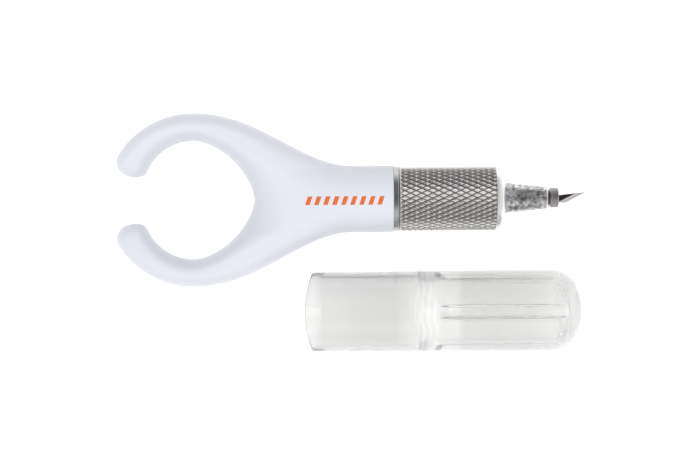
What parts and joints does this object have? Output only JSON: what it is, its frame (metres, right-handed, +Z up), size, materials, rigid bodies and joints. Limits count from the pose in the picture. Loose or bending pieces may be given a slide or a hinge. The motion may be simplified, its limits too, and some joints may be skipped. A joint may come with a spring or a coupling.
{
  "type": "craft knife",
  "caption": "Fingertip craft knife with a split finger loop, knurled barrel and swivelling offset blade, beside its clear cap.",
  "frame": {"origin": "centre of the base of the bounding box of knife and cap together, on the surface they lie on", "axes": "+X along the knife from the finger loop to the blade, +Y across the loop away from the cap, +Z up from the surface"},
  "size_m": [0.092, 0.047, 0.016],
  "materials": {
    "white_plastic": "satin-gloss moulded white plastic with a faint cool tint",
    "barrel_metal": "turned and diamond-knurled, bright",
    "nose_metal": "turned, bright",
    "steel": "turned steel",
    "bearing_steel": "polished bearing steel",
    "spring_steel": "drawn wire",
    "brass": "plain",
    "blade_steel": "dark flat with a bright ground bevel",
    "clear_plastic": "clear moulded plastic"
  },
  "bodies": {
    "handle_unit": {"handle": "white_plastic", "threaded_stud": "brass", "ferrule_ring": "nose_metal"},
    "nose_unit": {"nose_cone": "nose_metal", "bearing_retainer": "steel", "rear_race": "bearing_steel", "front_race": "bearing_steel", "preload_spring": "spring_steel", "spring_seat": "brass"},
    "barrel_unit": {"barrel": "barrel_metal"},
    "swivel_unit": {"spindle": "steel", "rear_hub": "bearing_steel", "front_hub": "bearing_steel", "hub_spacer": "steel", "rear_balls": "bearing_steel", "front_balls": "bearing_steel", "retaining_clip": "spring_steel", "blade_collar": "nose_metal", "clamp_screw": "steel", "blade": "blade_steel"},
    "cap_unit": {"cap": "clear_plastic"}
  },
  "joints": [
    {"name": "nose_advance", "type": "slide", "parent": "handle_unit", "child": "nose_unit", "axis": [1, 0, 0], "range_m": [0, 0.0045]},
    {"name": "barrel_turn", "type": "hinge", "parent": "nose_unit", "child": "barrel_unit", "pos_m": [0.01817, 0.0065, 0.0065], "axis": [1, 0, 0], "range_deg": [0, 2160]},
    {"name": "blade_swivel", "type": "hinge", "parent": "nose_unit", "child": "swivel_unit", "pos_m": [0.03317, 0.0065, 0.0065], "axis": [1, 0, 0], "continuous": true},
    {"name": "cap_slide", "type": "slide", "parent": "handle_unit", "child": "cap_unit", "axis": [1, 0, 0], "range_m": [0, 0.0557]}
  ],
  "couplings": [
    {"joint": "barrel_turn", "follows": "nose_advance", "rad_per_m": 8377.5}
  ]
}
